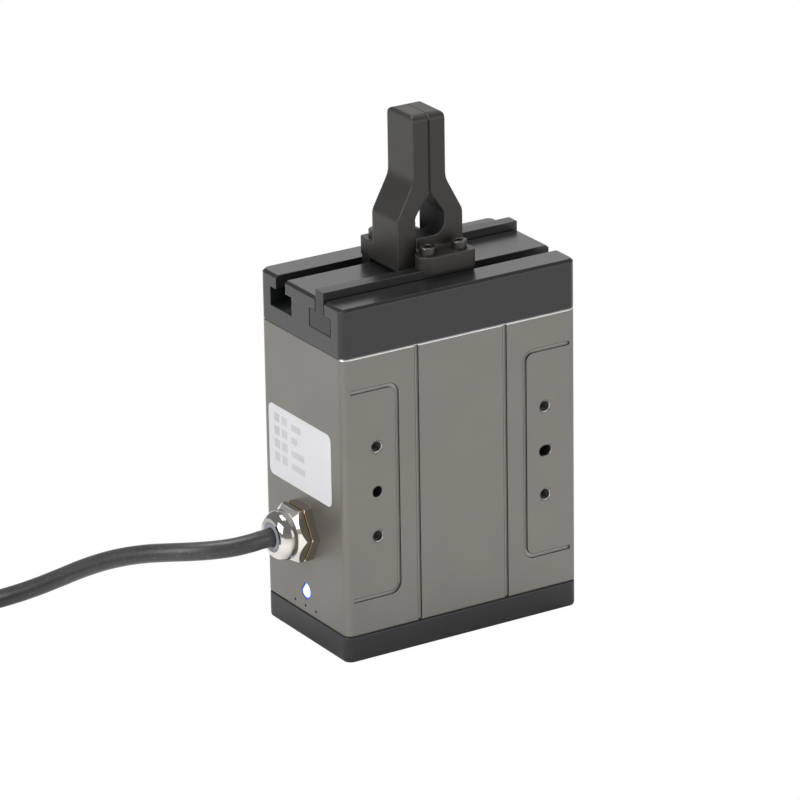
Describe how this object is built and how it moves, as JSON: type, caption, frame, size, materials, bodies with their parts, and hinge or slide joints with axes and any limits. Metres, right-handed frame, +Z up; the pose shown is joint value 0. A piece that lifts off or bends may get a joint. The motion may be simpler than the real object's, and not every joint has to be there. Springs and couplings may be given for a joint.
{
  "type": "electric two finger gripper",
  "caption": "Electric parallel gripper: a gearmotor and pinion drive opposed rack sliders that carry upright fingers, with mounting threads and a coiled lead.",
  "frame": {"origin": "middle of the underside of the base plate", "axes": "+X along the opening travel of the front jaw, +Z up towards the finger tips, the face with the mounting threads looks to -Y and the cable leaves the -X face"},
  "size_m": [0.2856, 0.1338, 0.1852],
  "materials": {
    "grey_anodised": "fine blasted, grey anodised",
    "black_anodised": "black anodised, satin",
    "finger_metal": "dark hard anodised, matte",
    "seal_rubber": "moulded",
    "gland_rubber": "moulded, smooth",
    "dark_steel": "blackened",
    "ground_steel": "ground",
    "gear_steel": "machined",
    "bright_steel": "polished",
    "nickel_plate": "polished nickel plate",
    "plain_aluminium": "machined",
    "motor_black": "black, satin",
    "copper_wire": "enamelled wire",
    "magnet_grey": "ground",
    "circuit_board": "solder mask",
    "brass_part": "turned",
    "chip_black": "moulded",
    "connector_green": "moulded",
    "clear_lens": "clear, lit from behind",
    "led_white": "moulded",
    "cable_jacket": "soft extruded jacket",
    "tie_black": "moulded",
    "core_brown": "extruded",
    "core_blue": "extruded",
    "core_white": "extruded",
    "core_black": "extruded",
    "tinned_copper": "tinned"
  },
  "bodies": {
    "body": {"housing": "grey_anodised", "base_plate": "black_anodised", "base_gasket": "seal_rubber", "tie_screws": "dark_steel", "guide_block": "black_anodised", "lower_bearing_outer": "ground_steel", "upper_bearing_outer": "ground_steel", "motor_plate": "plain_aluminium", "motor_plate_screws": "dark_steel", "gearhead_case": "gear_steel", "gearhead_screws": "dark_steel", "motor_can": "motor_black", "stator_core": "gear_steel", "stator_windings": "copper_wire", "motor_end_cap": "plain_aluminium", "rotor_bearings": "ground_steel", "encoder_board": "circuit_board", "encoder_spacers": "brass_part", "control_board": "circuit_board", "board_standoffs": "brass_part", "board_screws": "bright_steel", "board_chips": "chip_black", "board_capacitors": "chip_black", "terminal_block": "connector_green", "status_lens": "clear_lens", "status_led": "led_white", "led_board": "circuit_board", "gland_body": "nickel_plate", "gland_nut": "nickel_plate", "gland_seal": "gland_rubber", "gland_locknut": "nickel_plate", "inner_cable": "cable_jacket", "inner_leads": "core_blue", "cable": "cable_jacket", "cable_coil": "cable_jacket", "coil_ties": "tie_black", "cable_tail": "cable_jacket", "lead_brown": "core_brown", "lead_blue": "core_blue", "lead_white": "core_white", "lead_black": "core_black", "lead_ferrules": "tinned_copper"},
    "front_jaw": {"front_slider": "ground_steel", "front_finger": "finger_metal", "front_finger_screws": "dark_steel"},
    "back_jaw": {"back_slider": "ground_steel", "back_finger": "finger_metal", "back_finger_screws": "dark_steel"},
    "pinion_shaft": {"pinion": "gear_steel", "pinion_key": "gear_steel", "output_shaft": "ground_steel", "lower_bearing_inner": "ground_steel", "upper_bearing_inner": "ground_steel"},
    "lower_balls": {"lower_bearing_balls": "bright_steel"},
    "upper_balls": {"upper_bearing_balls": "bright_steel"},
    "rotor": {"rotor_shaft": "ground_steel", "rotor_magnet": "magnet_grey", "encoder_magnet": "magnet_grey"}
  },
  "joints": [
    {"name": "front_jaw_slide", "type": "slide", "parent": "body", "child": "front_jaw", "axis": [1, 0, 0], "range_m": [0, 0.034]},
    {"name": "back_jaw_slide", "type": "slide", "parent": "body", "child": "back_jaw", "axis": [1, 0, 0], "range_m": [-0.034, 0]},
    {"name": "pinion_spin", "type": "hinge", "parent": "body", "child": "pinion_shaft", "pos_m": [0, 0, 0.12], "axis": [0, 0, 1], "range_deg": [0, 278.8]},
    {"name": "lower_balls_orbit", "type": "hinge", "parent": "body", "child": "lower_balls", "pos_m": [0, 0, 0.114], "axis": [0, 0, 1], "range_deg": [0, 99]},
    {"name": "upper_balls_orbit", "type": "hinge", "parent": "body", "child": "upper_balls", "pos_m": [0, 0, 0.126], "axis": [0, 0, 1], "range_deg": [0, 109.6]},
    {"name": "rotor_spin", "type": "hinge", "parent": "body", "child": "rotor", "pos_m": [0, 0, 0.05], "axis": [0, 0, 1], "range_deg": [0, 1113.7]}
  ],
  "couplings": [
    {"joint": "back_jaw_slide", "follows": "front_jaw_slide", "ratio": -1},
    {"joint": "pinion_spin", "follows": "front_jaw_slide", "rad_per_m": 142.86},
    {"joint": "lower_balls_orbit", "follows": "front_jaw_slide", "rad_per_m": 50.571},
    {"joint": "upper_balls_orbit", "follows": "front_jaw_slide", "rad_per_m": 56},
    {"joint": "rotor_spin", "follows": "front_jaw_slide", "rad_per_m": 571.43}
  ]
}
